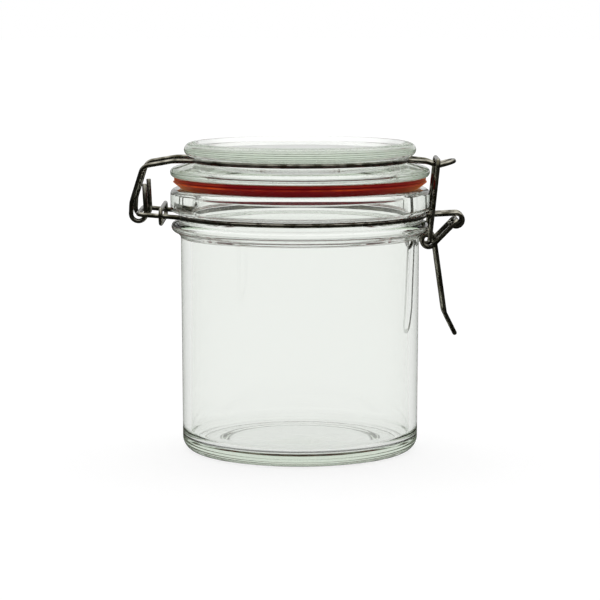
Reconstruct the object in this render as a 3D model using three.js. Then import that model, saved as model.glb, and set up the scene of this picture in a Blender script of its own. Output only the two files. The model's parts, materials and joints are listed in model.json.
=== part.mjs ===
// A clip top storage jar: a clear glass jar and lid, a rubber ring between them,
// and a closure bent from steel wire. Millimetres, +Z up, origin under the jar's axis.
// The closure's hinge is at -X and its latch at +X; every pivot runs along Y.
import * as THREE from "three";

// Driving dimensions of the glass jar
const FOOT_RADIUS = 38.0;
const FOOT_WIDTH = 3.4;
const PUNT_RISE = 1.5;
const PUNT_RADIUS = 24.5;
const LEDGE_RISE = 0.4;
const LEDGE_RADIUS = 29.0;
const LEDGE_EDGE = 0.6;
const HEEL_HEIGHT = 4.6;
const HEEL_RADIUS = 42.0;
const WALL_TOP_RADIUS = 42.35;
const WALL_TOP = 75.9;
const NECK_RADIUS = 43.15;
const BEAD_MIDDLE = 79.7;
const BEAD_HALF_HEIGHT = 2.05;
const BEAD_DEPTH = 2.5;
const COLLAR_BOTTOM = 85.2;
const COLLAR_RADIUS = 45.95;
const COLLAR_CORNER = 0.8;
const COLLAR_SHOULDER = 91.2;
const COLLAR_EDGE = 1.8;
const RIM_TOP = 93.2;
const MOUTH_RADIUS = 38.4;
const MOUTH_EDGE = 1.2;
const BORE_RADIUS = 39.1;
const FLOOR = 4.2;
const FLOOR_CROWN = 0.3;
const FLOOR_ROUND = 4.0;

// Driving dimensions of the glass lid
const LID_UNDERSIDE = 103.2;
const LID_HOLLOW_RADIUS = 33.2;
const LID_HOLLOW_ROUND = 3.0;
const PLUG_RADIUS = 35.6;
const PLUG_BOTTOM = 89.6;
const PLUG_EDGE = 0.9;
const FLANGE_BOTTOM = 97.25;
const FLANGE_EDGE = 1.7;
const FLANGE_RADIUS = 46.0;
const FLANGE_CREST = 101.8;
const FLANGE_CREST_RADIUS = 39.6;
const LID_NECK_RADIUS = 37.4;
const LID_NECK_ROUND = 0.5;
const LID_NECK_BOTTOM = 102.7;
const LID_NECK_TOP = 104.0;
const RING_MIDDLE = 106.9;
const RING_HALF_HEIGHT = 2.55;
const RING_DEPTH = 3.2;
const RING_CORE_RADIUS = 37.9;
const RING_FLAT = 0.8;
const DISH_RADIUS = 34.2;
const DISH_DEPTH = 1.6;

// Driving dimensions of the rubber ring
const GASKET_INNER_RADIUS = 36.0;
const GASKET_SKIRT_RADIUS = 37.2;
const GASKET_SKIRT_BOTTOM = 90.3;
const GASKET_FOOT_RADIUS = 42.1;
const GASKET_LIP_RADIUS = 45.0;
const GASKET_LIP_HEIGHT = 2.1;
const GASKET_TOP_RADIUS = 44.4;
const CONTACT_GAP = 0.25;

// Driving dimensions of the wire closure
const WIRE_RADIUS = 0.82;
const KEEPER_WIRE_RADIUS = 0.75;
const HINGE = { x: -56.6, z: 85.0 };
const HINGE_BAR_HALF = 15.0;
const TAIL_START_HALF = 13.5;
const HOOK_HALF = 11.8;
const HOOK_RADIUS = 2.6;
const POST_TOP = 95.5;
const POST_LEAN = 0.5;
const LEG_LOW = { x: -59.0, z: 89.0 };
const LEG_SHOULDER = { x: -55.0, z: 101.6 };
const LEG_END_X = -44.6;
const NECK_WIRE_RADIUS = 44.35;
const NECK_WIRE_Z = 83.75;
const EYE_RADIUS = 2.3;
const EYE_SWEEP = 250;
const EYE_HALF = 3.5;
const PIVOT = { x: 55.3, z: 82.0 };
const LID_WIRE_RADIUS = 38.55;
const LID_WIRE_Z = 103.4;
const TONGUE_HALF = 4.6;
const TONGUE_START = { x: 45.0, half: 5.2, z: 102.7 };
const VALLEY = { x: 48.6, z: 101.2 };
const TONGUE_TIP = { x: 54.5, z: 102.8 };
const LINK_BAR = { x: 48.5, z: 103.45 };
const LINK_HALF = 10.2;
const LINK_FOOT = { x: 45.6, z: 75.4 };
const COIL = { x: 45.35, z: 75.0 };
const COIL_RADIUS = 2.25;
const ARM_HALF = 7.5;
const LEVER_HALF = 5.5;
const LEVER_KNEE = { x: 51.35, z: 49.1 };
const LEVER_TIP = { x: 55.2, z: 41.4 };
const PIN_INNER_END = 2.0;
const SIDE_GAP = 0.35;
const LINK_FOOT_HALF = ARM_HALF + WIRE_RADIUS + SIDE_GAP;
const KEEPER_X = -48.6;
const KEEPER_HALF = 13.9;
const KEEPER_ROUND = 2.5;
const KEEPER_SPLIT = 0.5;

// Bend radii of the wires
const RING_BEND = 2.6;
const BAR_BEND = 2.4;
const LEG_BEND = 8.0;
const SHOULDER_BEND = 3.4;
const TONGUE_START_BEND = 5.0;
const VALLEY_BEND = 3.0;
const TONGUE_TIP_BEND = 4.0;
const FOOT_BEND = 1.3;
const PIN_BEND = 1.4;
const KNEE_BEND = 5.0;
const LEVER_TIP_BEND = 4.4;

// How finely round forms are divided
const TURNS = 52;
const WIRE_SIDES = 8;
const RING_STEP = 10;
const BEND_STEP = 18;

const rad = THREE.MathUtils.degToRad;

const glass = new THREE.MeshStandardMaterial({ color: 0xe9f0ec, roughness: 0.05, metalness: 0 });
const rubber = new THREE.MeshStandardMaterial({ color: 0x9c2410, roughness: 0.55, metalness: 0 });
const steel = new THREE.MeshStandardMaterial({ color: 0x8e8c80, roughness: 0.28, metalness: 1 });

// Points of a profile along an elliptical arc, its angles in degrees from the outward direction.
function ellipse(radius, height, depth, halfHeight, from, to, steps) {
  return Array.from({ length: steps + 1 }, (_, i) => {
    const angle = rad(from + ((to - from) * i) / steps);
    return [radius + depth * Math.cos(angle), height + halfHeight * Math.sin(angle)];
  });
}

// Points of a profile that swings smoothly from one radius to another, by half a cosine wave.
function sway([fromRadius, fromHeight], [toRadius, toHeight], steps) {
  return Array.from({ length: steps + 1 }, (_, i) => {
    const share = i / steps;
    const blend = (1 - Math.cos(Math.PI * share)) / 2;
    return [
      fromRadius + (toRadius - fromRadius) * blend,
      fromHeight + (toHeight - fromHeight) * share,
    ];
  });
}

// A solid of revolution about Z from a profile of [radius, height] points, outer side first.
function turned(name, profile, material) {
  const points = profile.map(([radius, height]) => new THREE.Vector2(radius, height));
  const geometry = new THREE.LatheGeometry(points, TURNS);
  geometry.rotateX(Math.PI / 2);
  const mesh = new THREE.Mesh(geometry, material);
  mesh.name = name;
  return mesh;
}

// The jar: foot ring, heel, wall, bead, neck groove and collar outside, then the mouth and tapered bore.
function glassJar() {
  const outside = [
    [0, PUNT_RISE],
    [PUNT_RADIUS, PUNT_RISE],
    [LEDGE_RADIUS, LEDGE_RISE],
    [FOOT_RADIUS - FOOT_WIDTH - LEDGE_EDGE, LEDGE_RISE],
    [FOOT_RADIUS - FOOT_WIDTH, 0],
    ...ellipse(FOOT_RADIUS, HEEL_HEIGHT, HEEL_RADIUS - FOOT_RADIUS, HEEL_HEIGHT, -90, 0, 5),
    [WALL_TOP_RADIUS, WALL_TOP],
    ...ellipse(NECK_RADIUS, BEAD_MIDDLE, BEAD_DEPTH, BEAD_HALF_HEIGHT, -80, 90, 7),
    [NECK_RADIUS, COLLAR_BOTTOM],
    [COLLAR_RADIUS - COLLAR_CORNER, COLLAR_BOTTOM],
    [COLLAR_RADIUS, COLLAR_BOTTOM + COLLAR_CORNER],
    ...ellipse(
      COLLAR_RADIUS - COLLAR_EDGE, COLLAR_SHOULDER, COLLAR_EDGE, RIM_TOP - COLLAR_SHOULDER, 0, 90, 4,
    ),
  ];
  const mouthEdge = MOUTH_RADIUS + MOUTH_EDGE;
  const inside = [
    ...ellipse(mouthEdge, RIM_TOP - MOUTH_EDGE, -MOUTH_EDGE, MOUTH_EDGE, 90, 0, 3),
    ...ellipse(BORE_RADIUS - FLOOR_ROUND, FLOOR + FLOOR_ROUND, FLOOR_ROUND, FLOOR_ROUND, 0, -90, 5),
    [0, FLOOR + FLOOR_CROWN],
  ];
  return turned("jar", [...outside, ...inside], glass);
}

// The lid: hollow underside and plug, flange with a round edge, wire neck, and the dished top ring.
function glassLid() {
  const flangeMiddle = FLANGE_BOTTOM + FLANGE_EDGE;
  const hollowTop = LID_HOLLOW_RADIUS - LID_HOLLOW_ROUND;
  const plugRing = (LID_HOLLOW_RADIUS + PLUG_RADIUS) / 2;
  const plugHalf = (PLUG_RADIUS - LID_HOLLOW_RADIUS) / 2;
  const ringTop = RING_MIDDLE + RING_HALF_HEIGHT;
  return turned(
    "lid",
    [
      [0, LID_UNDERSIDE],
      ...ellipse(hollowTop, LID_UNDERSIDE - LID_HOLLOW_ROUND, LID_HOLLOW_ROUND, LID_HOLLOW_ROUND, 90, 0, 3),
      ...ellipse(plugRing, PLUG_BOTTOM + PLUG_EDGE, plugHalf, PLUG_EDGE, -180, 0, 4),
      [PLUG_RADIUS, FLANGE_BOTTOM],
      ...ellipse(FLANGE_RADIUS - FLANGE_EDGE, flangeMiddle, FLANGE_EDGE, FLANGE_EDGE, -90, 90, 8),
      [FLANGE_CREST_RADIUS, FLANGE_CREST],
      [LID_NECK_RADIUS + LID_NECK_ROUND, LID_NECK_BOTTOM - LID_NECK_ROUND],
      [LID_NECK_RADIUS, LID_NECK_BOTTOM],
      [LID_NECK_RADIUS, LID_NECK_TOP],
      ...ellipse(RING_CORE_RADIUS, RING_MIDDLE, RING_DEPTH, RING_HALF_HEIGHT, -75, 90, 8),
      ...sway([RING_CORE_RADIUS - RING_FLAT, ringTop], [DISH_RADIUS, ringTop - DISH_DEPTH], 3),
      [0, ringTop - DISH_DEPTH],
    ],
    glass,
  );
}

// The rubber ring: flat on the rim, with a skirt round the lid's plug and a coned face under the flange.
function rubberRing() {
  const bottom = RIM_TOP + CONTACT_GAP;
  const top = FLANGE_BOTTOM - CONTACT_GAP;
  return turned(
    "gasket",
    [
      [GASKET_INNER_RADIUS, GASKET_SKIRT_BOTTOM],
      [GASKET_SKIRT_RADIUS, GASKET_SKIRT_BOTTOM],
      [GASKET_SKIRT_RADIUS, bottom],
      [GASKET_FOOT_RADIUS, bottom],
      [GASKET_LIP_RADIUS, bottom + GASKET_LIP_HEIGHT],
      [GASKET_TOP_RADIUS, top],
      [GASKET_INNER_RADIUS, top],
      [GASKET_INNER_RADIUS, GASKET_SKIRT_BOTTOM],
    ],
    rubber,
  );
}

// A curve through given stations, so that each section of a swept wire sits on one of them.
class WireRoute extends THREE.Curve {
  constructor(stations) {
    super();
    this.stations = stations;
  }

  getPoint(t, target = new THREE.Vector3()) {
    const last = this.stations.length - 1;
    const before = Math.min(Math.floor(t * last + 1e-6), last - 1);
    return target.lerpVectors(this.stations[before], this.stations[before + 1], t * last - before);
  }

  getPointAt(u, target) {
    return this.getPoint(u, target);
  }

  getTangentAt(u, target = new THREE.Vector3()) {
    const last = this.stations.length - 1;
    const here = Math.round(u * last);
    const middle = this.stations[here];
    const arriving = middle.clone().sub(this.stations[Math.max(here - 1, 0)]).normalize();
    const leaving = this.stations[Math.min(here + 1, last)].clone().sub(middle).normalize();
    return target.copy(arriving).add(leaving).normalize();
  }
}

// Stations round one corner of a wire, bent to a radius.
function roundedCorner(before, corner, after, bend) {
  const arriving = corner.clone().sub(before).normalize();
  const leaving = after.clone().sub(corner).normalize();
  const turn = arriving.angleTo(leaving);
  const inward = leaving.clone().addScaledVector(arriving, -arriving.dot(leaving)).normalize();
  const start = corner.clone().addScaledVector(arriving, -bend * Math.tan(turn / 2));
  const steps = Math.max(1, Math.ceil(turn / rad(BEND_STEP)));
  return Array.from({ length: steps + 1 }, (_, i) => {
    const angle = (turn * i) / steps;
    return start
      .clone()
      .addScaledVector(arriving, bend * Math.sin(angle))
      .addScaledVector(inward, bend * (1 - Math.cos(angle)));
  });
}

// Stations of a wire from its corners, each [x, y, z, bend radius]; a corner with no bend is kept.
function bentStations(corners) {
  const points = corners.map(([x, y, z]) => new THREE.Vector3(x, y, z));
  return points.flatMap((point, i) => {
    const bend = corners[i][3] ?? 0;
    return bend > 0 ? roundedCorner(points[i - 1], point, points[i + 1], bend) : [point];
  });
}

// The whole route of a wire from its near half, which ends on the plane Y = 0 that it is mirrored in.
function mirrored(half) {
  const far = half.slice(0, -1).map(([x, y, z, bend]) => [x, -y, z, bend]);
  return [...half, ...far.reverse()];
}

// Corners on a level circle about the jar's axis, on its near side, between two angles in degrees.
function ringCorners(radius, height, from, to) {
  const steps = Math.round(Math.abs(to - from) / RING_STEP);
  return Array.from({ length: steps + 1 }, (_, i) => {
    const angle = rad(from + ((to - from) * i) / steps);
    return [radius * Math.cos(angle), -radius * Math.sin(angle), height];
  });
}

// Corners on an upright circle in a plane of constant Y, which may drift sideways as it turns.
function loopCorners(centre, radius, from, to, fromY, toY = fromY) {
  const steps = Math.ceil(Math.abs(to - from) / BEND_STEP);
  return Array.from({ length: steps + 1 }, (_, i) => {
    const share = i / steps;
    const angle = rad(from + (to - from) * share);
    return [
      centre.x + radius * Math.cos(angle),
      fromY + (toY - fromY) * share,
      centre.z + radius * Math.sin(angle),
    ];
  });
}

// The angle at which a straight run from a point meets a circle, on the side that sign gives.
function tangentAngle(centre, radius, point, sign) {
  const dx = point.x - centre.x;
  const dz = point.z - centre.z;
  const spread = Math.acos(radius / Math.hypot(dx, dz));
  return THREE.MathUtils.radToDeg(Math.atan2(dz, dx) + sign * spread);
}

// A round wire swept along corners.
function wire(name, corners, radius) {
  const stations = bentStations(corners);
  const rim = Array.from({ length: WIRE_SIDES }, (_, i) => {
    const angle = (2 * Math.PI * i) / WIRE_SIDES;
    return new THREE.Vector2(radius * Math.cos(angle), radius * Math.sin(angle));
  });
  const geometry = new THREE.ExtrudeGeometry(new THREE.Shape(rim), {
    steps: stations.length - 1,
    extrudePath: new WireRoute(stations),
    bevelEnabled: false,
  });
  const mesh = new THREE.Mesh(geometry, steel);
  mesh.name = name;
  return mesh;
}

// The angle on a circle about the axis where the wire is a given distance from the plane Y = 0.
function angleAtHalf(radius, half) {
  return THREE.MathUtils.radToDeg(Math.asin(half / radius));
}

// The neck wire: an eye at the latch, round the jar's neck, and out to the hinge bar.
function neckWire() {
  const latchAngle = angleAtHalf(NECK_WIRE_RADIUS, EYE_HALF);
  const hingeAngle = 180 - angleAtHalf(NECK_WIRE_RADIUS, TAIL_START_HALF);
  const ring = ringCorners(NECK_WIRE_RADIUS, NECK_WIRE_Z, latchAngle, hingeAngle);
  ring[0][3] = RING_BEND;
  ring[ring.length - 1][3] = RING_BEND;
  const half = [
    ...loopCorners(PIVOT, EYE_RADIUS, 90 - EYE_SWEEP, 90, -EYE_HALF),
    ...ring,
    [HINGE.x, -HINGE_BAR_HALF, HINGE.z, BAR_BEND],
    [HINGE.x, 0, HINGE.z],
  ];
  return wire("neck_wire", mirrored(half), WIRE_RADIUS);
}

// The lid wire: a post and hook at the hinge, a raised leg, round the lid, and out to the tongue.
function lidWire() {
  const hingeAngle = 180 - angleAtHalf(LID_WIRE_RADIUS, HOOK_HALF);
  const latchAngle = angleAtHalf(LID_WIRE_RADIUS, 2 * TONGUE_HALF);
  const ring = ringCorners(LID_WIRE_RADIUS, LID_WIRE_Z, hingeAngle, latchAngle);
  ring[0][3] = RING_BEND;
  ring[ring.length - 1][3] = RING_BEND;
  const half = [
    [HINGE.x + HOOK_RADIUS - POST_LEAN, -HOOK_HALF, POST_TOP],
    ...loopCorners(HINGE, HOOK_RADIUS, 0, -180, -HOOK_HALF),
    [LEG_LOW.x, -HOOK_HALF, LEG_LOW.z, LEG_BEND],
    [LEG_SHOULDER.x, -HOOK_HALF, LEG_SHOULDER.z, SHOULDER_BEND],
    [LEG_END_X, -HOOK_HALF, LID_WIRE_Z, LEG_BEND],
    ...ring,
    [TONGUE_START.x, -TONGUE_START.half, TONGUE_START.z, TONGUE_START_BEND],
    [VALLEY.x, -TONGUE_HALF, VALLEY.z, VALLEY_BEND],
    [TONGUE_TIP.x, -TONGUE_HALF, TONGUE_TIP.z, TONGUE_TIP_BEND],
    [TONGUE_TIP.x, 0, TONGUE_TIP.z],
  ];
  return wire("lid_wire", mirrored(half), WIRE_RADIUS);
}

// The link: a bar across the lid wire's tongue, with two legs that reach down to the lever's coils.
function latchLink() {
  const half = [
    [LINK_FOOT.x, -LINK_FOOT_HALF, LINK_FOOT.z],
    [LINK_FOOT.x, -LINK_HALF, LINK_FOOT.z, FOOT_BEND],
    [LINK_BAR.x, -LINK_HALF, LINK_BAR.z, BAR_BEND],
    [LINK_BAR.x, 0, LINK_BAR.z],
  ];
  return wire("latch_link", mirrored(half), WIRE_RADIUS);
}

// The lever: a pin in the neck wire's eye, an arm, a coil for the link, and a leg to the bent tip.
function latchLever() {
  const arrive = tangentAngle(COIL, COIL_RADIUS, PIVOT, -1);
  const leave = tangentAngle(COIL, COIL_RADIUS, LEVER_KNEE, 1) - 360;
  const half = [
    [PIVOT.x, -PIN_INNER_END, PIVOT.z],
    [PIVOT.x, -ARM_HALF, PIVOT.z, PIN_BEND],
    ...loopCorners(COIL, COIL_RADIUS, arrive, leave, -ARM_HALF, -LEVER_HALF),
    [LEVER_KNEE.x, -LEVER_HALF, LEVER_KNEE.z, KNEE_BEND],
    [LEVER_TIP.x, -LEVER_HALF, LEVER_TIP.z, LEVER_TIP_BEND],
    [LEVER_TIP.x, 0, LEVER_TIP.z],
  ];
  return wire("latch_lever", mirrored(half), WIRE_RADIUS);
}

// The keeper: an oblong split ring that holds the neck wire's two strands together by the hinge.
function keeper() {
  const share = (-KEEPER_X - NECK_WIRE_RADIUS) / (-HINGE.x - NECK_WIRE_RADIUS);
  const middle = NECK_WIRE_Z + (HINGE.z - NECK_WIRE_Z) * share;
  const end = (side, from) =>
    Array.from({ length: 180 / BEND_STEP + 1 }, (_, i) => {
      const angle = rad(from + i * BEND_STEP);
      return [
        KEEPER_X,
        side * KEEPER_HALF + KEEPER_ROUND * Math.cos(angle),
        middle + KEEPER_ROUND * Math.sin(angle),
      ];
    });
  const bottom = middle - KEEPER_ROUND;
  return wire(
    "keeper",
    [
      [KEEPER_X, KEEPER_SPLIT / 2, bottom],
      ...end(1, -90),
      ...end(-1, 90),
      [KEEPER_X, -KEEPER_SPLIT / 2, bottom],
    ],
    KEEPER_WIRE_RADIUS,
  );
}

const clipTopJar = new THREE.Group();
clipTopJar.add(glassJar(), neckWire(), keeper());
clipTopJar.add(glassLid(), rubberRing(), lidWire());
clipTopJar.add(latchLink(), latchLever());

export default clipTopJar;
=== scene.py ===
"""The looks of a clip top jar: clear pressed glass, a red rubber ring and a drawn steel wire closure.

Every piece is a surface worked out with numpy in the part's own frame. The glass and the rubber are
profiles turned about Z, and each wire is a round section carried along its bent route. Sizes are held
in millimetres and put into the meshes in metres.
"""

from __future__ import annotations

import json
import logging
import math
from abc import ABC, abstractmethod
from dataclasses import dataclass
from enum import Enum
from typing import Any, Optional, Sequence, Union

import bpy
import numpy as np
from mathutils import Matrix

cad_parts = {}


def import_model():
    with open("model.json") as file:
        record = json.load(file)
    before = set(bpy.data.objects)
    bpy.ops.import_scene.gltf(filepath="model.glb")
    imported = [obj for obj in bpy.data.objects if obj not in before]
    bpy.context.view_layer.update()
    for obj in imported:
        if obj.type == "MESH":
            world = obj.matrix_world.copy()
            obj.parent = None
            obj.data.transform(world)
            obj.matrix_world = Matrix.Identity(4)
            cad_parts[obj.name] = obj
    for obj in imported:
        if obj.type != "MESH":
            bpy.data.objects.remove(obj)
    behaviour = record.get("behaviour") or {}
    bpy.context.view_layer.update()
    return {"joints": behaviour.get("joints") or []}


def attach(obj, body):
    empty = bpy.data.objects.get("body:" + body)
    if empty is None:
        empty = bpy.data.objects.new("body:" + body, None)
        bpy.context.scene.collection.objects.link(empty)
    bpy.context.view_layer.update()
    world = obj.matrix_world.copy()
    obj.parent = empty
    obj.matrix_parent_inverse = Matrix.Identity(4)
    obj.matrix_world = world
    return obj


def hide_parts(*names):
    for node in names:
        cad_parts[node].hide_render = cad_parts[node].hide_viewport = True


Array = np.ndarray
Colour = tuple[float, float, float]
Place = tuple[float, float]
MM = 0.001
log = logging.getLogger("clip_top_jar")


class Body(Enum):
    """The rigid bodies that pieces ride on."""

    JAR = "jar"
    LID = "lid"
    LINK = "link"
    LEVER = "lever"


class Slot(Enum):
    """The record's material slots."""

    GLASS = "glass"
    RUBBER = "rubber"
    WIRE = "wire"


class Ends(Enum):
    """How the first and last rows of a grid are closed."""

    POLES = "each end row is one point"
    JOINED = "the last row meets the first"


# Profiles, as rows of radius and height

SAME_POINT = 1e-4
LONG_RUN = 0.6
CLOSE_ROW = 0.05


def arc(centre: Place, reach: Place, start: float, stop: float, steps: int) -> Array:
    """Points on an ellipse: centre plus reach times the cosine and sine of an angle.

    Args:
        centre: radius and height of the ellipse's centre.
        reach: half its width and half its height.
        start: first angle, in degrees from the outward direction.
        stop: last angle.
        steps: number of stretches.

    Returns:
        Rows of radius and height.
    """
    angle = np.radians(np.linspace(start, stop, steps + 1))
    return np.column_stack((centre[0] + reach[0] * np.cos(angle), centre[1] + reach[1] * np.sin(angle)))


def sway(start: Place, stop: Place, steps: int) -> Array:
    """Points that swing from one radius to another by half a cosine wave over a steady height.

    Args:
        start: first radius and height.
        stop: last radius and height.
        steps: number of stretches.

    Returns:
        Rows of radius and height.
    """
    share = np.linspace(0.0, 1.0, steps + 1)
    blend = (1 - np.cos(np.pi * share)) / 2
    return np.column_stack(
        (start[0] + (stop[0] - start[0]) * blend, start[1] + (stop[1] - start[1]) * share)
    )


def swell(start: Place, stop: Place, steps: int) -> Array:
    """Points that swing from one height to another by half a cosine wave over a steady radius.

    Args:
        start: first radius and height.
        stop: last radius and height.
        steps: number of stretches.

    Returns:
        Rows of radius and height.
    """
    return sway(start[::-1], stop[::-1], steps)[:, ::-1]


def run(start: Place, stop: Place, steps: int) -> Array:
    """Points at even steps on a straight line, both ends included."""
    return np.linspace(start, stop, steps + 1)


def joined(*stretches: Array) -> Array:
    """One profile from stretches laid end to end, with close rows at both ends of a long straight run.

    The close rows keep the run's shading straight, so that flat glass doesn't act as a lens.

    Args:
        stretches: rows of radius and height.

    Returns:
        Rows of radius and height, with repeated points left out.
    """
    rows = np.vstack(stretches)
    moved = np.linalg.norm(np.diff(rows, axis=0), axis=1) > SAME_POINT
    rows = rows[np.concatenate(([True], moved))]
    steps = np.diff(rows, axis=0)
    lengths = np.linalg.norm(steps, axis=1, keepdims=True)
    long = np.flatnonzero(lengths > LONG_RUN)
    inset = CLOSE_ROW * steps[long] / lengths[long]
    close = np.stack((rows[long] + inset, rows[long + 1] - inset), axis=1)
    return np.insert(rows, np.repeat(long + 1, 2), close.reshape(-1, 2), axis=0)


# Surfaces, as grids of points


def turned(profile: Array, turns: int) -> Array:
    """A grid that turns a profile about Z: (r cos a, r sin a, z) for each row and each angle a.

    Args:
        profile: rows of radius and height.
        turns: number of angles.

    Returns:
        Points in an array of rows, angles and three coordinates.
    """
    angle = np.linspace(0.0, 2 * np.pi, turns, endpoint=False)
    radius, height = profile[:, :1], profile[:, 1:]
    return np.stack(
        (radius * np.cos(angle), radius * np.sin(angle), np.broadcast_to(height, (len(profile), turns))),
        axis=-1,
    )


def directions(route: Array) -> Array:
    """Unit tangents at a route's stations: the mean of the runs before and after each."""
    runs = np.diff(route, axis=0)
    runs /= np.linalg.norm(runs, axis=1, keepdims=True)
    mean = np.vstack((runs[:1], runs[:-1] + runs[1:], runs[-1:]))
    return mean / np.linalg.norm(mean, axis=1, keepdims=True)


def carried(route: Array, radius: float, sides: int, chamfer: float) -> Array:
    """A grid that carries a round section along a route and closes it with blunt ends.

    At each station the section is radius times (cos a side + sin a up). Side and up are unit vectors
    square to the route that turn from station to station only as much as the route does. At both ends
    a ring drawn in by the chamfer and a row of one point on the route close the tube.

    Args:
        route: stations along the centre line.
        radius: radius of the section.
        sides: number of points round it.
        chamfer: how far the end's edge is broken.

    Returns:
        Points in an array of rows, angles and three coordinates.
    """
    along = directions(route)
    side = np.empty_like(along)
    seed = np.eye(3)[np.argmin(np.abs(along[0]))]
    side[0] = np.cross(along[0], seed)
    for station in range(1, len(route)):
        side[station] = side[station - 1] - along[station] * (side[station - 1] @ along[station])
        side[station] /= np.linalg.norm(side[station])
    side[0] /= np.linalg.norm(side[0])
    up = np.cross(along, side)
    angle = np.linspace(0.0, 2 * np.pi, sides, endpoint=False)
    ring = np.cos(angle)[:, None] * side[:, None] + np.sin(angle)[:, None] * up[:, None]
    tube = route[:, None] + radius * ring
    step_in = chamfer * along[[0, -1]] * np.array([[1.0], [-1.0]])
    small = route[[0, -1], None] + (radius - chamfer) * ring[[0, -1]]
    tube[0] += step_in[0]
    tube[-1] += step_in[1]
    tip = np.broadcast_to(route[[0, -1], None], (2, sides, 3))
    return np.concatenate((tip[:1], small[:1], tube, small[1:], tip[1:]))


def surface(name: str, grid: Array, ends: Ends, shares: Optional[Array] = None) -> bpy.types.Object:
    """A closed mesh object from a grid of points in millimetres, its faces turned outwards.

    Each cell of the grid is a face, the last angle meets the first, and the ends close as asked. In a
    row that shares points, each group of neighbouring angles takes its first point, so that only the
    rows with fine relief have all the angles. The UV map holds the distance along the rows in metres
    and the share of a turn round them.

    Args:
        name: the piece's name.
        grid: points in an array of rows, angles and three coordinates.
        ends: how the end rows close.
        shares: how many neighbouring angles share a point in each row, one if left out.

    Returns:
        The new object, at the origin.
    """
    rows, turns = grid.shape[:2]
    shares = np.ones(rows, int) if shares is None else shares
    cells = rows if ends is Ends.JOINED else rows - 1
    row, turn = (index.ravel() for index in np.meshgrid(np.arange(cells), np.arange(turns), indexing="ij"))
    corner_row = np.stack((row, row, row + 1, row + 1), axis=1)
    corner_turn = np.stack((turn, turn + 1, turn + 1, turn), axis=1)
    group = shares[corner_row % rows]
    number = (corner_row % rows) * turns + corner_turn % turns // group * group
    travel = np.linalg.norm(np.diff(grid, axis=0, append=grid[:1]), axis=2).mean(axis=1) * MM
    distance = np.concatenate(([0.0], np.cumsum(travel)))
    chart = np.stack((distance[corner_row], corner_turn / turns), axis=-1)
    points = grid.reshape(-1, 3) * MM
    if ends is Ends.POLES:
        number = np.where(number < turns, 0, number)
        number = np.where(number >= (rows - 1) * turns, (rows - 1) * turns, number)
    spread = points[number]
    volume = np.einsum(
        "ij,ij->", spread[:, 0], np.cross(spread[:, 1] - spread[:, 0], spread[:, 2] - spread[:, 0])
    ) + np.einsum("ij,ij->", spread[:, 0], np.cross(spread[:, 2] - spread[:, 0], spread[:, 3] - spread[:, 0]))
    if volume < 0:
        number, chart = number[:, ::-1], chart[:, ::-1]
    kept = number != np.roll(number, 1, axis=1)
    whole = kept.sum(axis=1) > 2
    number, chart, kept = number[whole], chart[whole], kept[whole]
    used, renumbered = np.unique(number, return_inverse=True)
    loops = renumbered.reshape(number.shape)[kept]
    starts = np.concatenate(([0], np.cumsum(kept.sum(axis=1))[:-1]))
    mesh = bpy.data.meshes.new(name)
    mesh.vertices.add(len(used))
    mesh.vertices.foreach_set("co", points[used].ravel())
    mesh.loops.add(len(loops))
    mesh.loops.foreach_set("vertex_index", loops.astype(np.int32))
    mesh.polygons.add(len(starts))
    mesh.polygons.foreach_set("loop_start", starts.astype(np.int32))
    mesh.uv_layers.new(name="UVMap").data.foreach_set("uv", chart[kept].ravel())
    mesh.update(calc_edges=True)
    mesh.validate()
    mesh.shade_smooth()
    piece = bpy.data.objects.new(name, mesh)
    bpy.context.scene.collection.objects.link(piece)
    return piece


# Routes of bent wire, as rows of x, y, z and bend radius


BEND_STEP = 7.0
RING_STEP = 2.5
END_CLEAR = 5.0


def bent(corners: Sequence[Sequence[float]]) -> Array:
    """Stations of a wire from its corners: straight runs, with each corner that has a bend rounded to it.

    A rounded corner starts bend * tan(turn / 2) before the corner and follows
    start + bend * (sin a arriving + (1 - cos a) inward) for a from 0 to the turn.

    Args:
        corners: rows of x, y, z and, where the corner is rounded, its bend radius.

    Returns:
        Rows of x, y and z.
    """
    points = np.array([corner[:3] for corner in corners], float)
    stations = []
    for index, corner in enumerate(corners):
        bend = corner[3] if len(corner) > 3 else 0.0
        if bend <= 0:
            stations.append(points[index : index + 1])
            continue
        arriving = points[index] - points[index - 1]
        leaving = points[index + 1] - points[index]
        arriving /= np.linalg.norm(arriving)
        leaving /= np.linalg.norm(leaving)
        turn = math.acos(float(np.clip(arriving @ leaving, -1.0, 1.0)))
        inward = leaving - arriving * (arriving @ leaving)
        inward /= np.linalg.norm(inward)
        start = points[index] - arriving * bend * math.tan(turn / 2)
        steps = max(2, math.ceil(math.degrees(turn) / BEND_STEP))
        angle = np.linspace(0.0, turn, steps + 1)[:, None]
        stations.append(start + bend * (np.sin(angle) * arriving + (1 - np.cos(angle)) * inward))
    return np.vstack(stations)


def mirrored(half: Sequence[Sequence[float]]) -> list[Sequence[float]]:
    """A whole route from its near half, which ends on the plane Y = 0 that it is mirrored in."""
    far = [(corner[0], -corner[1], *corner[2:]) for corner in half[:-1]]
    return [*half, *reversed(far)]


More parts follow.
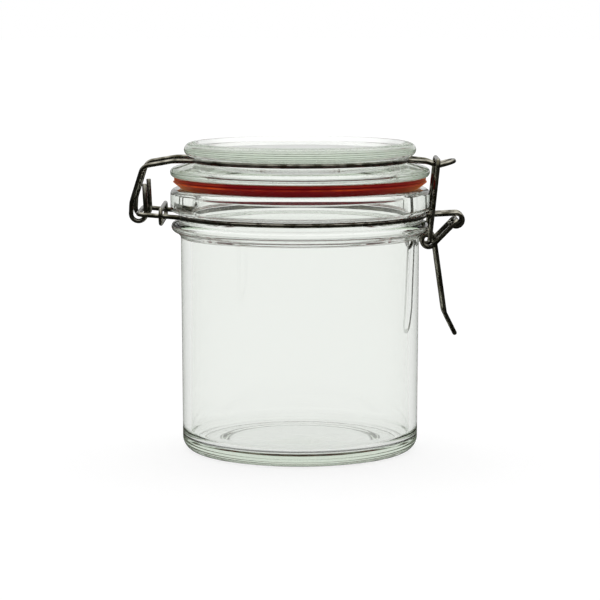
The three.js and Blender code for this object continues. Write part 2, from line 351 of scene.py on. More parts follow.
def ring_corners(
    radius: float, height: float, start_half: float, stop_half: float, bend: float, hinge_first: bool
) -> list[tuple[float, ...]]:
    """Corners on the near side of a level circle about Z: (r cos a, -r sin a, height).

    Args:
        radius: the circle's radius.
        height: its height.
        start_half: distance from the plane Y = 0 at the first corner.
        stop_half: the same at the last corner.
        bend: bend radius of the first and last corners.
        hinge_first: whether the first corner is the one at the hinge.

    Returns:
        Rows of x, y, z and, at both ends, the bend.
    """
    ends = [math.degrees(math.asin(half / radius)) for half in (start_half, stop_half)]
    at_hinge = 0 if hinge_first else 1
    ends[at_hinge] = 180 - ends[at_hinge]
    count = round(abs(ends[1] - ends[0]) / RING_STEP)
    every = np.linspace(*ends, count + 1)
    inner = every[(np.abs(every - ends[0]) > END_CLEAR) & (np.abs(every - ends[1]) > END_CLEAR)]
    rows = [
        (radius * math.cos(math.radians(angle)), -radius * math.sin(math.radians(angle)), height)
        for angle in (ends[0], *inner, ends[1])
    ]
    rows[0] += (bend,)
    rows[-1] += (bend,)
    return rows


def loop_corners(
    centre: Place, radius: float, start: float, stop: float, start_y: float, stop_y: Optional[float] = None
) -> list[tuple[float, ...]]:
    """Corners on an upright circle, which may drift along Y as it turns.

    Args:
        centre: x and z of its centre.
        radius: the circle's radius.
        start: first angle in degrees.
        stop: last angle.
        start_y: y at the first angle.
        stop_y: y at the last angle, the same if left out.

    Returns:
        Rows of x, y and z.
    """
    count = math.ceil(abs(stop - start) / BEND_STEP)
    share = np.linspace(0.0, 1.0, count + 1)
    angle = np.radians(start + (stop - start) * share)
    drift = start_y + ((start_y if stop_y is None else stop_y) - start_y) * share
    rows = np.column_stack((centre[0] + radius * np.cos(angle), drift, centre[1] + radius * np.sin(angle)))
    return [tuple(row) for row in rows]


def tangent_angle(centre: Place, radius: float, point: Place, sign: int) -> float:
    """The angle in degrees where a straight run from a point meets a circle, on the side sign gives."""
    dx, dz = point[0] - centre[0], point[1] - centre[1]
    return math.degrees(math.atan2(dz, dx) + sign * math.acos(radius / math.hypot(dx, dz)))


# Shader maths


class Value:
    """One output socket of a node tree; arithmetic on it adds Math nodes."""

    def __init__(self, sheet: "Sheet", socket: bpy.types.NodeSocket) -> None:
        """Wraps a socket of a sheet."""
        self.sheet = sheet
        self.socket = socket

    def math(self, operation: str, *values: "Number") -> "Value":
        """A Math node's result from values."""
        return self.sheet.add("ShaderNodeMath", {"operation": operation}, dict(enumerate(values)))

    def __add__(self, other: "Number") -> "Value":
        """Self plus other."""
        return self.math("ADD", self, other)

    __radd__ = __add__

    def __sub__(self, other: "Number") -> "Value":
        """Self minus other."""
        return self.math("SUBTRACT", self, other)

    def __rsub__(self, other: "Number") -> "Value":
        """Other minus self."""
        return self.math("SUBTRACT", other, self)

    def __mul__(self, other: "Number") -> "Value":
        """Self times other."""
        return self.math("MULTIPLY", self, other)

    def __pow__(self, other: "Number") -> "Value":
        """Self to the power of other."""
        return self.math("POWER", self, other)

    def between(self, low: float, high: float) -> "Value":
        """A smooth step from 0 at low to 1 at high."""
        return self.sheet.add(
            "ShaderNodeMapRange",
            {"interpolation_type": "SMOOTHSTEP"},
            {"Value": self, "From Min": low, "From Max": high},
        )


Number = Union[Value, float]


class Sheet:
    """A node tree that nodes are added to one at a time."""

    def __init__(self, tree: bpy.types.NodeTree) -> None:
        """Starts a sheet on an empty tree."""
        self.tree = tree
        tree.nodes.clear()

    def add(
        self,
        kind: str,
        settings: Optional[dict[str, Any]] = None,
        sockets: Optional[dict[Union[str, int], Any]] = None,
        output: Union[str, int] = 0,
    ) -> Value:
        """Adds one node and returns one of its outputs.

        Args:
            kind: the node's type.
            settings: properties to set first.
            sockets: values or links of its inputs, by name or number.
            output: name or number of the output to return.

        Returns:
            The output, or the node's first input where it has no output.
        """
        node = self.tree.nodes.new(kind)
        for key, setting in (settings or {}).items():
            setattr(node, key, setting)
        for key, given in (sockets or {}).items():
            if isinstance(given, Value):
                self.tree.links.new(given.socket, node.inputs[key])
            elif node.inputs[key].type == "RGBA" and len(given) == 3:
                node.inputs[key].default_value = (*given, 1.0)
            else:
                node.inputs[key].default_value = given
        return Value(self, node.outputs[output] if node.outputs else node.inputs[0])

    def mix(self, share: Number, first: Any, second: Any) -> Value:
        """A colour that goes from first to second as share goes from 0 to 1."""
        return self.add(
            "ShaderNodeMix", {"data_type": "RGBA"}, {0: share, 6: first, 7: second}, output=2
        )

    def noise(self, vector: Value, scale: float, detail: float, roughness: float = 0.5) -> Value:
        """Fractal noise at a scale, between 0 and 1."""
        return self.add(
            "ShaderNodeTexNoise",
            None,
            {"Vector": vector, "Scale": scale, "Detail": detail, "Roughness": roughness},
        )

    def ray_is(self, kind: str) -> Value:
        """One where the ray that meets the surface is of a kind, and zero elsewhere."""
        return self.add("ShaderNodeLightPath", output="Is " + kind + " Ray")

    def bump(self, height: Value, strength: float, distance: float) -> Value:
        """A normal that leans as a height does."""
        sockets = {"Height": height, "Strength": strength, "Distance": distance}
        return self.add("ShaderNodeBump", None, sockets)


def new_material(name: str) -> tuple[bpy.types.Material, Sheet]:
    """A material with an empty sheet."""
    material = bpy.data.materials.new(name)
    material.use_nodes = True
    return material, Sheet(material.node_tree)


class Finish(ABC):
    """A surface finish that makes its material once."""

    @abstractmethod
    def material(self) -> bpy.types.Material:
        """The finish's material."""


@dataclass(frozen=True)
class ClearGlass(Finish):
    """Pressed soda glass: clear, grey-green in the thick, with the slow waves of a mould."""

    name: str = "clear_pressed_glass"
    ior: float = 1.5
    skin_colour: Colour = (0.935, 0.945, 0.93)
    depth_colour: Colour = (0.78, 0.84, 0.76)
    depth_density: float = 20.0
    wave_scale: float = 55.0
    wave_height: float = 0.00012
    wave_strength: float = 0.15
    smear_scale: float = 165.0
    smear_band: Place = (0.52, 0.8)
    smear: float = 0.03

    def material(self) -> bpy.types.Material:
        """Transmissive shader with slow waves, faint smears in its gloss and a tint that grows with depth."""
        material, sheet = new_material(self.name)
        place = sheet.add("ShaderNodeTexCoord", output="Object")
        waves = sheet.noise(place, self.wave_scale, 2.0)
        smears = sheet.noise(place, self.smear_scale, 4.0).between(*self.smear_band)
        shader = sheet.add(
            "ShaderNodeBsdfPrincipled",
            None,
            {
                "Base Color": self.skin_colour,
                "Roughness": smears * self.smear,
                "IOR": self.ior,
                "Transmission Weight": 1.0,
                "Normal": sheet.bump(waves, self.wave_strength, self.wave_height),
            },
        )
        depth = sheet.add(
            "ShaderNodeVolumeAbsorption", None, {"Color": self.depth_colour, "Density": self.depth_density}
        )
        sheet.add("ShaderNodeOutputMaterial", None, {"Surface": shader, "Volume": depth})
        return material


@dataclass(frozen=True)
class RedRubber(Finish):
    """Rubber whose own dark red is made darker as painted shade of its recess, with an orange painted glow of
    light through its thin lip.
    """

    name: str = "red_rubber"
    # the rubber's own dark red, made darker as painted shade of the recess between lid flange and collar
    deep_red_and_recess_shade: Colour = (0.17, 0.0006, 0.006)
    # painted glow: orange that stands in for light shining through the thin lip
    painted_lip_glow: Colour = (0.6, 0.075, 0.01)
    rim_tint: Colour = (1.0, 0.3, 0.03)
    painted_glow_start: float = 44.45
    painted_glow_full: float = 45.05
    patch_scale: float = 60.0
    patch_band: Place = (0.4, 0.62)
    # least share of the painted lip glow between its patches
    least_painted_glow: float = 0.15
    roughness: Place = (0.4, 0.2)
    gloss: float = 0.06
    sheen: float = 0.8
    sheen_roughness: float = 0.3
    glow_share: float = 0.35
    glow_reach: Colour = (1.0, 0.3, 0.1)
    glow_depth: float = 0.003
    grain_scale: float = 900.0
    grain_strength: float = 0.15
    grain_height: float = 0.0001

    def material(self) -> bpy.types.Material:
        """Satin shader whose colour goes from the shaded dark red to the painted lip glow with the distance
        from the axis, in patches.
        """
        material, sheet = new_material(self.name)
        place = sheet.add("ShaderNodeTexCoord", output="Object")
        x, y = (sheet.add("ShaderNodeSeparateXYZ", None, {0: place}, output=axis) for axis in range(2))
        radius = (x * x + y * y) ** 0.5
        # painted glow of light through the lip, by distance from the axis, broken into patches
        lip = radius.between(self.painted_glow_start * MM, self.painted_glow_full * MM)
        patches = sheet.noise(place, self.patch_scale, 3.0).between(*self.patch_band)
        share = lip * (self.least_painted_glow + patches * (1 - self.least_painted_glow))
        grain = sheet.noise(place, self.grain_scale, 2.0)
        shader = sheet.add(
            "ShaderNodeBsdfPrincipled",
            None,
            {
                "Base Color": sheet.mix(share, self.deep_red_and_recess_shade, self.painted_lip_glow),
                "Roughness": self.roughness[0] + grain * self.roughness[1],
                "Specular IOR Level": self.gloss,
                "Sheen Weight": self.sheen,
                "Sheen Roughness": self.sheen_roughness,
                "Sheen Tint": self.rim_tint,
                "Subsurface Weight": self.glow_share,
                "Subsurface Radius": self.glow_reach,
                "Subsurface Scale": self.glow_depth,
                "Normal": sheet.bump(grain, self.grain_strength, self.grain_height),
            },
        )
        sheet.add("ShaderNodeOutputMaterial", None, {"Surface": shader})
        return material


@dataclass(frozen=True)
class DrawnSteel(Finish):
    """Steel wire with fine lines along its length, a warm dark cast and duller worn patches."""

    name: str = "drawn_steel_wire"
    clean: Colour = (0.24, 0.23, 0.19)
    dull: Colour = (0.05, 0.046, 0.03)
    lines_round: float = 34.0
    lines_along: float = 60.0
    line_strength: float = 0.2
    line_height: float = 0.00004
    patch_scale: float = 260.0
    patch_band: Place = (0.35, 0.65)
    least_roughness: float = 0.14
    added_roughness: float = 0.1

    def material(self) -> bpy.types.Material:
        """Metal shader with lines from a noise stretched along the wire's UV map."""
        material, sheet = new_material(self.name)
        chart = sheet.add("ShaderNodeTexCoord", output="UV")
        stretched = sheet.add(
            "ShaderNodeVectorMath",
            {"operation": "MULTIPLY"},
            {0: chart, 1: (self.lines_along, self.lines_round, 1.0)},
        )
        lines = sheet.noise(stretched, 1.0, 3.0, 0.6)
        place = sheet.add("ShaderNodeTexCoord", output="Object")
        patches = sheet.noise(place, self.patch_scale, 4.0).between(*self.patch_band)
        roughness = self.least_roughness + patches * self.added_roughness + lines * self.added_roughness
        shader = sheet.add(
            "ShaderNodeBsdfPrincipled",
            None,
            {
                "Base Color": sheet.mix(patches, self.clean, self.dull),
                "Metallic": 1.0,
                "Roughness": roughness,
                "Normal": sheet.bump(lines, self.line_strength, self.line_height),
            },
        )
        sheet.add("ShaderNodeOutputMaterial", None, {"Surface": shader})
        return material


@dataclass(frozen=True)
class PaleFloor(Finish):
    """A matt white table lit from below, which mirrors nothing and is dim in what is mirrored."""

    name: str = "pale_floor"
    colour: Colour = (0.28, 0.28, 0.28)
    glow: float = 0.76
    mirrored: Colour = (0.05, 0.05, 0.04)
    uneven_scale: float = 8.0
    roughness: Place = (0.85, 0.1)

    def material(self) -> bpy.types.Material:
        """Matt shader with a glow, and a dim one where a mirrored ray meets it."""
        material, sheet = new_material(self.name)
        place = sheet.add("ShaderNodeTexCoord", output="Object")
        uneven = sheet.noise(place, self.uneven_scale, 2.0)
        lit = sheet.add(
            "ShaderNodeBsdfPrincipled",
            None,
            {
                "Base Color": self.colour,
                "Roughness": self.roughness[0] + uneven * self.roughness[1],
                "Specular IOR Level": 0.0,
                "Emission Color": (1.0, 1.0, 1.0),
                "Emission Strength": self.glow,
            },
        )
        dim = sheet.add("ShaderNodeBsdfDiffuse", None, {"Color": self.mirrored})
        mirrored_ray = sheet.ray_is("Glossy") * (1 - sheet.ray_is("Transmission"))
        shader = sheet.add("ShaderNodeMixShader", None, {0: mirrored_ray, 1: lit, 2: dim})
        sheet.add("ShaderNodeOutputMaterial", None, {"Surface": shader})
        material.cycles.emission_sampling = "NONE"
        return material


# Pieces


@dataclass
class Piece(ABC):
    """A piece that stands for one node of the part."""

    node: str
    body: Body
    slot: Slot

    @abstractmethod
    def build(self) -> bpy.types.Object:
        """Makes the piece's mesh object."""

    def dress(self, piece: bpy.types.Object, finish: bpy.types.Material) -> None:
        """Gives the piece its finish and its body, and hides the node that it stands for.

        Args:
            piece: the mesh object.
            finish: its material.
        """
        piece.data.materials.append(finish)
        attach(piece, self.body.value)
        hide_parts(self.node)
        log.info("%s: %d faces", piece.name, len(piece.data.polygons))


@dataclass
class GlassJar(Piece):
    """The jar: foot ring, heel, wall, bead, neck groove and collar, then the mouth and bore."""

    node: str = "jar"
    body: Body = Body.JAR
    slot: Slot = Slot.GLASS
    foot_radius: float = 38.0
    foot_width: float = 3.4
    punt_rise: float = 1.5
    punt_radius: float = 24.5
    ledge_rise: float = 0.4
    ledge_radius: float = 29.0
    ledge_edge: float = 0.6
    heel_height: float = 4.6
    heel_radius: float = 42.0
    wall_top: Place = (42.35, 75.9)
    neck_radius: float = 43.15
    bead_middle: float = 79.7
    bead_reach: Place = (2.5, 2.05)
    bead_lead: float = 0.25
    groove_fillet: float = 0.6
    groove_height: float = 2.0
    collar_bottom: float = 85.2
    collar_radius: float = 45.95
    collar_corner: float = 0.8
    collar_shoulder: float = 91.2
    collar_edge: float = 1.8
    rim_top: float = 93.2
    mouth_radius: float = 38.4
    mouth_edge: float = 1.2
    bore_radius: float = 39.1
    floor: float = 4.2
    floor_crown: float = 0.3
    floor_round: float = 4.0
    turns: int = 256

    def profile(self) -> Array:
        """The jar's section from the middle of its underside to the middle of its floor."""
        foot_inner = self.foot_radius - self.foot_width
        ledge_end = foot_inner - self.ledge_edge
        collar_top = self.rim_top - self.collar_shoulder
        edge_radius = self.mouth_radius + self.mouth_edge
        bore_low = self.floor + self.floor_round
        bead_low = self.bead_middle - self.bead_reach[1]
        fillet_radius = self.neck_radius + self.groove_fillet
        fillet_low = self.bead_middle + self.bead_reach[1] + self.groove_fillet
        fillet_high = self.collar_bottom - self.groove_fillet
        groove_low = self.collar_bottom - self.groove_height
        fillet = (self.groove_fillet, self.groove_fillet)
        return joined(
            run((0.0, self.punt_rise), (self.punt_radius, self.punt_rise), 4),
            swell((self.punt_radius, self.punt_rise), (self.ledge_radius, self.ledge_rise), 10),
            run((self.ledge_radius, self.ledge_rise), (ledge_end, self.ledge_rise), 2),
            swell((ledge_end, self.ledge_rise), (foot_inner, 0.0), 6),
            run((foot_inner, 0.0), (self.foot_radius, 0.0), 2),
            arc(
                (self.foot_radius, self.heel_height),
                (self.heel_radius - self.foot_radius, self.heel_height),
                -90, 0, 14,
            ),
            run((self.heel_radius, self.heel_height), self.wall_top, 8),
            sway(self.wall_top, (self.neck_radius + self.bead_lead, bead_low), 5),
            arc((self.neck_radius, self.bead_middle), self.bead_reach, -75, 80, 18),
            arc((fillet_radius, fillet_low), fillet, 260, 180, 4),
            run((self.neck_radius, groove_low), (self.neck_radius, fillet_high), 2),
            arc((fillet_radius, fillet_high), fillet, 180, 90, 4),
            arc(
                (self.collar_radius - self.collar_corner, self.collar_bottom + self.collar_corner),
                (self.collar_corner, self.collar_corner),
                -90, 0, 8,
            ),
            arc(
                (self.collar_radius - self.collar_edge, self.collar_shoulder),
                (self.collar_edge, collar_top),
                0, 90, 14,
            ),
            arc(
                (edge_radius, self.rim_top - self.mouth_edge),
                (self.mouth_edge, self.mouth_edge),
                90, 180, 8,
            ),
            run((self.mouth_radius, self.rim_top - self.mouth_edge), (self.bore_radius, bore_low), 8),
            arc(
                (self.bore_radius - self.floor_round, bore_low),
                (self.floor_round, self.floor_round),
                0, -90, 16,
            ),
            run((self.bore_radius - self.floor_round, self.floor), (0.0, self.floor + self.floor_crown), 4),
        )

    def build(self) -> bpy.types.Object:
        """Turns the section about Z."""
        return surface("jar_glass", turned(self.profile(), self.turns), Ends.POLES)


@dataclass
class GlassLid(Piece):
    """The lid: hollow underside and plug, round-edged flange, wire neck and dished top ring."""

    node: str = "lid"
    body: Body = Body.LID
    slot: Slot = Slot.GLASS
    underside: float = 103.2
    hollow_radius: float = 33.2
    hollow_round: float = 3.0
    plug_radius: float = 35.6
    plug_bottom: float = 89.6
    plug_edge: float = 0.9
    plug_fillet: float = 0.3
    flange_bottom: float = 97.25
    flange_edge: float = 1.7
    flange_radius: float = 46.0
    flange_slope: float = 14.0
    neck_radius: float = 37.4
    neck_round: float = 1.1
    neck_middle: float = 103.24
    ring_core: float = 37.9
    ring_middle: float = 106.9
    ring_reach: Place = (3.2, 2.55)
    ring_flat: float = 0.8
    dish_radius: float = 34.2
    dish_depth: float = 1.6
    beads: int = 200
    bead_depth: float = 0.6
    bead_inner: float = 37.0
    bead_outer: float = 40.4
    bead_steps: int = 6
    shared_steps: int = 4

    def profile(self) -> Array:
        """The lid's section from the middle of its underside to the middle of its top."""
        flange_middle = self.flange_bottom + self.flange_edge
        plug_middle = (self.hollow_radius + self.plug_radius) / 2
        plug_half = (self.plug_radius - self.hollow_radius) / 2
        ring_top = self.ring_middle + self.ring_reach[1]
        dish = ring_top - self.dish_depth
        return joined(
            run((0.0, self.underside), (self.hollow_radius - self.hollow_round, self.underside), 4),
            arc(
                (self.hollow_radius - self.hollow_round, self.underside - self.hollow_round),
                (self.hollow_round, self.hollow_round),
                90, 0, 10,
            ),
            arc((plug_middle, self.plug_bottom + self.plug_edge), (plug_half, self.plug_edge), -180, 0, 14),
            arc(
                (self.plug_radius + self.plug_fillet, self.flange_bottom - self.plug_fillet),
                (self.plug_fillet, self.plug_fillet),
                180, 90, 4,
            ),
            arc(
                (self.flange_radius - self.flange_edge, flange_middle),
                (self.flange_edge, self.flange_edge),
                -90, 90 - self.flange_slope, 22,
            ),
            arc(
                (self.neck_radius + self.neck_round, self.neck_middle),
                (self.neck_round, self.neck_round),
                270 - self.flange_slope, 100, 16,
            ),
            arc((self.ring_core, self.ring_middle), self.ring_reach, -83, 90, 28),
            run((self.ring_core, ring_top), (self.ring_core - self.ring_flat, ring_top), 4),
            swell((self.ring_core - self.ring_flat, ring_top), (self.dish_radius, dish), 10),
            run((self.dish_radius, dish), (0.0, dish), 4),
        )

    def build(self) -> bpy.types.Object:
        """Turns the section about Z and sinks a wave of beads into its rim.

        Each row of the rim moves against its normal by its own depth times (1 - cos(beads * angle)) / 2.

        Returns:
            The lid.
        """
        profile = self.profile()
        along = directions(profile)
        normal = np.column_stack((along[:, 1], -along[:, 0]))
        grid = turned(profile, self.beads * self.bead_steps)
        across = (profile[:, 0] - self.bead_inner) / (self.bead_outer - self.bead_inner)
        beaded = (across > 0) & (across < 1) & (profile[:, 1] > self.ring_middle)
        depth = np.where(beaded, np.sin(np.pi * across) ** 2, 0.0) * self.bead_depth
        angle = np.linspace(0.0, 2 * np.pi, grid.shape[1], endpoint=False)
        sunk = depth[:, None] * (1 - np.cos(self.beads * angle)) / 2
        grid -= sunk[:, :, None] * turned(normal, grid.shape[1])
        return surface("lid_glass", grid, Ends.POLES, np.where(beaded, 1, self.shared_steps))


@dataclass
class RubberRing(Piece):
    """The rubber ring: a skirt round the plug, pressed on the rim, with a coned face, a lip and a groove."""

    node: str = "gasket"
    body: Body = Body.LID
    slot: Slot = Slot.RUBBER
    inner_radius: float = 36.0
    skirt_radius: float = 37.2
    skirt_bottom: float = 90.3
    foot_radius: float = 42.1
    bottom: float = 93.18
    lip: Place = (45.0, 95.55)
    groove: Place = (44.35, 96.15)
    top: Place = (44.4, 97.1)
    edge: float = 0.25
    row_shares: tuple[float, ...] = (0.0, 0.04, 0.3, 0.7, 0.96)
    turns: int = 256

    def profile(self) -> Array:
        """The ring's section, closed, with each stretch's ends held by close rows."""
        corners = [
            (self.inner_radius, self.skirt_bottom),
            (self.skirt_radius, self.skirt_bottom),
            (self.skirt_radius, self.bottom),
            (self.foot_radius, self.bottom),
            (self.lip[0] - self.edge, self.lip[1] - self.edge),
            self.lip,
            self.groove,
            (self.top[0] + self.edge, self.groove[1] + self.edge),
            (self.top[0] + self.edge, self.top[1] - self.edge),
            self.top,
            (self.inner_radius, self.top[1]),
        ]
        share = np.array(self.row_shares)[:, None]
        legs = zip(corners, corners[1:] + corners[:1])
        return np.vstack([(1 - share) * np.array(start) + share * np.array(stop) for start, stop in legs])

    def build(self) -> bpy.types.Object:
        """Turns the section about Z."""
        return surface("rubber_ring", turned(self.profile(), self.turns), Ends.JOINED)


@dataclass
class BentWire(Piece):
    """A round wire bent along a route."""

    node: str = ""
    body: Body = Body.JAR
    slot: Slot = Slot.WIRE
    radius: float = 0.82
    sides: int = 24
    chamfer: float = 0.16

    @abstractmethod
    def corners(self) -> list[Sequence[float]]:
        """The route's corners: x, y, z and, where rounded, the bend radius."""

    def build(self) -> bpy.types.Object:
        """Carries the round section along the bent route."""
        grid = carried(bent(self.corners()), self.radius, self.sides, self.chamfer)
        return surface(self.node + "_steel", grid, Ends.POLES)


@dataclass
class NeckWire(BentWire):
    """An eye at the latch, round the jar's neck, and out to the hinge bar."""

    node: str = "neck_wire"
    hinge: Place = (0.0, 0.0)
    pivot: Place = (0.0, 0.0)
    bar_half: float = 15.0
    tail_half: float = 13.5
    ring_radius: float = 44.35
    height: float = 83.75
    eye_radius: float = 2.3
    eye_sweep: float = 250.0
    eye_half: float = 3.5
    ring_bend: float = 2.6
    bar_bend: float = 2.4

    def corners(self) -> list[Sequence[float]]:
        """Both halves of the route, joined at the middle of the hinge bar."""
        ring = ring_corners(
            self.ring_radius, self.height, self.eye_half, self.tail_half, self.ring_bend, False
        )
        half = [
            *loop_corners(self.pivot, self.eye_radius, 90 - self.eye_sweep, 90, -self.eye_half),
            *ring,
            (self.hinge[0], -self.bar_half, self.hinge[1], self.bar_bend),
            (self.hinge[0], 0.0, self.hinge[1]),
        ]
        return mirrored(half)


@dataclass
class Keeper(BentWire):
    """An oblong split ring that holds the neck wire's two strands together by the hinge."""

    node: str = "keeper"
    radius: float = 0.75
    x: float = -48.6
    middle: float = 84.18
    half: float = 13.9
    end_radius: float = 2.5
    split: float = 0.5
    end_steps: int = 26

    def corners(self) -> list[Sequence[float]]:
        """Round both ends, from one side of the split to the other."""
        angle = np.radians(np.linspace(-90, 90, self.end_steps + 1))
        across = self.half + self.end_radius * np.cos(angle)
        height = self.middle + self.end_radius * np.sin(angle)
        far = [(self.x, y, z) for y, z in zip(across, height)]
        near = [(self.x, -y, z) for y, z in zip(across[::-1], height[::-1])]
        low = self.middle - self.end_radius
        return [(self.x, self.split / 2, low), *far, *near, (self.x, -self.split / 2, low)]


@dataclass
class LidWire(BentWire):
    """A post and hook at the hinge, a raised leg, round the lid, and out to the tongue."""

    node: str = "lid_wire"
    body: Body = Body.LID
    hinge: Place = (0.0, 0.0)
    hook_half: float = 11.8
    hook_radius: float = 2.6
    post_top: float = 95.5
    post_lean: float = 0.5
    leg_low: Place = (-59.0, 89.0)
    leg_shoulder: Place = (-55.0, 101.6)
    leg_end: float = -44.6
    leg_bend: float = 8.0
    shoulder_bend: float = 3.4
    ring_radius: float = 38.55
    height: float = 103.4
    ring_bend: float = 2.6
    tongue_half: float = 4.6
    tongue_start: tuple[float, float, float] = (45.0, -5.2, 102.7)
    valley: Place = (48.6, 101.2)
    tip: Place = (54.5, 102.8)
    start_bend: float = 5.0
    valley_bend: float = 3.0
    tip_bend: float = 4.0

    def corners(self) -> list[Sequence[float]]:
        """Both halves of the route, joined at the tip of the tongue."""
        near, tongue = -self.hook_half, -self.tongue_half
        ring = ring_corners(
            self.ring_radius, self.height, self.hook_half, 2 * self.tongue_half, self.ring_bend, True
        )
        half = [
            (self.hinge[0] + self.hook_radius - self.post_lean, near, self.post_top),
            *loop_corners(self.hinge, self.hook_radius, 0, -180, near),
            (self.leg_low[0], near, self.leg_low[1], self.leg_bend),
            (self.leg_shoulder[0], near, self.leg_shoulder[1], self.shoulder_bend),
            (self.leg_end, near, self.height, self.leg_bend),
            *ring,
            (*self.tongue_start, self.start_bend),
            (self.valley[0], tongue, self.valley[1], self.valley_bend),
            (self.tip[0], tongue, self.tip[1], self.tip_bend),
            (self.tip[0], 0.0, self.tip[1]),
        ]
        return mirrored(half)


@dataclass
class LatchLink(BentWire):
    """A bar across the lid wire's tongue, with two legs that reach down to the lever's coils."""

    node: str = "latch_link"
    body: Body = Body.LINK
    bar: Place = (0.0, 0.0)
    half: float = 10.2
    foot: Place = (45.6, 75.4)
    foot_half: float = 8.67
    foot_bend: float = 1.3
    bar_bend: float = 2.4

    def corners(self) -> list[Sequence[float]]:
        """Both halves of the route, joined at the middle of the bar."""
        half = [
            (self.foot[0], -self.foot_half, self.foot[1]),
            (self.foot[0], -self.half, self.foot[1], self.foot_bend),
            (self.bar[0], -self.half, self.bar[1], self.bar_bend),
            (self.bar[0], 0.0, self.bar[1]),
        ]
        return mirrored(half)


@dataclass
class LatchLever(BentWire):
    """A pin in the neck wire's eye, an arm, a coil for the link, and a leg to the bent tip."""

    node: str = "latch_lever"
    body: Body = Body.LEVER
    pivot: Place = (0.0, 0.0)
    pin_end: float = 2.0
    arm_half: float = 7.5
    coil: Place = (45.35, 75.0)
    coil_radius: float = 2.25
    leg_half: float = 5.5
    knee: Place = (51.35, 49.1)
    tip: Place = (55.2, 41.4)
    pin_bend: float = 1.4
    knee_bend: float = 5.0
    tip_bend: float = 4.4

    def corners(self) -> list[Sequence[float]]:
        """Both halves of the route, joined at the tip of the handle."""
        arrive = tangent_angle(self.coil, self.coil_radius, self.pivot, -1)
        leave = tangent_angle(self.coil, self.coil_radius, self.knee, 1) - 360
        half = [
            (self.pivot[0], -self.pin_end, self.pivot[1]),
            (self.pivot[0], -self.arm_half, self.pivot[1], self.pin_bend),
            *loop_corners(self.coil, self.coil_radius, arrive, leave, -self.arm_half, -self.leg_half),
            (self.knee[0], -self.leg_half, self.knee[1], self.knee_bend),
            (self.tip[0], -self.leg_half, self.tip[1], self.tip_bend),
            (self.tip[0], 0.0, self.tip[1]),
        ]
        return mirrored(half)


# The studio


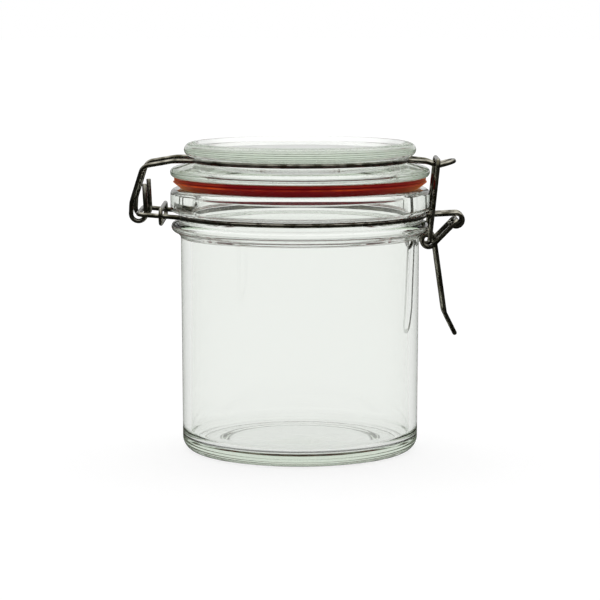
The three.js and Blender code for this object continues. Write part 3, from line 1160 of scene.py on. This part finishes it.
@dataclass
class Studio:
    """A pale floor, soft light all round and the camera of the photograph."""

    camera_place: tuple[float, float, float] = (0.0, -840.0, 159.0)
    camera_aim: tuple[float, float, float] = (0.0, 0.0, 53.0)
    view_angle: float = 14.4246
    floor_radius: float = 9000.0
    floor_sides: int = 96
    room_light: float = 0.02
    back_band: Place = (0.6, 1.0)
    back_light: float = 0.7
    top_band: Place = (0.35, 0.85)
    top_light: float = 2.5
    through_band: Place = (-0.7, 0.05)
    through_front: float = 0.8
    spread_band: Place = (-0.5, 0.5)
    spread_front: float = 0.4
    spread_back: float = 1.6
    glass_bounces: int = 48
    gloss_bounces: int = 32
    matt_bounces: int = 4

    def build_floor(self) -> None:
        """A wide round floor at the height of the jar's foot."""
        angle = np.linspace(0.0, 2 * np.pi, self.floor_sides, endpoint=False)
        rim = np.column_stack((np.cos(angle), np.sin(angle), np.zeros_like(angle)))
        mesh = bpy.data.meshes.new("floor")
        mesh.from_pydata((rim * self.floor_radius * MM).tolist(), [], [list(range(len(rim)))])
        floor = bpy.data.objects.new("floor", mesh)
        bpy.context.scene.collection.objects.link(floor)
        mesh.materials.append(PaleFloor().material())

    def build_light(self) -> None:
        """Soft white light; what is mirrored sees a light above and behind, and a dark room elsewhere."""
        scene = bpy.context.scene
        scene.world = bpy.data.worlds.new("studio")
        scene.world.use_nodes = True
        sheet = Sheet(scene.world.node_tree)
        way = sheet.add("ShaderNodeTexCoord", output="Generated")
        y, z = (sheet.add("ShaderNodeSeparateXYZ", None, {0: way}, output=axis) for axis in (1, 2))
        through_ray = sheet.ray_is("Transmission")
        mirrored_ray = sheet.ray_is("Glossy") * (1 - through_ray)
        back = y.between(*self.back_band) * self.back_light
        mirrored_light = self.room_light + back + z.between(*self.top_band) * self.top_light
        through_light = self.through_front + y.between(*self.through_band) * (1 - self.through_front)
        spread_rise = self.spread_back - self.spread_front
        spread_light = self.spread_front + y.between(*self.spread_band) * spread_rise
        light = 1.0 + mirrored_ray * (mirrored_light - 1.0) + through_ray * (through_light - 1.0)
        light = light + sheet.ray_is("Diffuse") * (spread_light - 1.0)
        background = sheet.add("ShaderNodeBackground", None, {"Color": (1.0, 1.0, 1.0), "Strength": light})
        sheet.add("ShaderNodeOutputWorld", None, {"Surface": background})

    def build_camera(self) -> None:
        """A camera at the photograph's place and angle."""
        place = np.array(self.camera_place)
        ahead = np.array(self.camera_aim) - place
        pitch = math.atan2(ahead[2], math.hypot(ahead[0], ahead[1]))
        lens = bpy.data.cameras.new("camera")
        lens.sensor_fit = "HORIZONTAL"
        lens.angle = math.radians(self.view_angle)
        lens.clip_start = 0.01
        camera = bpy.data.objects.new("camera", lens)
        camera.location = place * MM
        camera.rotation_euler = (math.pi / 2 + pitch, 0.0, -math.atan2(ahead[0], ahead[1]))
        bpy.context.scene.collection.objects.link(camera)
        bpy.context.scene.camera = camera

    def set_rendering(self) -> None:
        """Plain colours, and bounces enough for light to cross the glass."""
        scene = bpy.context.scene
        scene.view_settings.view_transform = "Standard"
        scene.view_settings.look = "None"
        scene.cycles.max_bounces = self.glass_bounces
        scene.cycles.transmission_bounces = self.glass_bounces
        scene.cycles.glossy_bounces = self.gloss_bounces
        scene.cycles.diffuse_bounces = self.matt_bounces
        scene.cycles.use_denoising = True


def pivot_of(frame: dict[str, Any], joint: str) -> Place:
    """The x and z of a joint's axis, in millimetres."""
    row = next(entry for entry in frame["joints"] if entry["name"] == joint)
    return row["pos_m"][0] / MM, row["pos_m"][2] / MM


def main() -> None:
    """Builds and dresses every piece, then the studio."""
    logging.basicConfig(level=logging.INFO, format="%(name)s: %(message)s")
    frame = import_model()
    hinge = pivot_of(frame, "lid_hinge")
    pivot = pivot_of(frame, "lever_swing")
    glass = ClearGlass().material()
    rubber = RedRubber().material()
    steel = DrawnSteel().material()
    pieces = [
        (GlassJar(), glass),
        (GlassLid(), glass),
        (RubberRing(), rubber),
        (NeckWire(hinge=hinge, pivot=pivot), steel),
        (Keeper(), steel),
        (LidWire(hinge=hinge), steel),
        (LatchLink(bar=pivot_of(frame, "link_swing")), steel),
        (LatchLever(pivot=pivot), steel),
    ]
    for piece, finish in pieces:
        piece.dress(piece.build(), finish)
    studio = Studio()
    studio.build_floor()
    studio.build_light()
    studio.build_camera()
    studio.set_rendering()


if __name__ == "__main__":
    main()
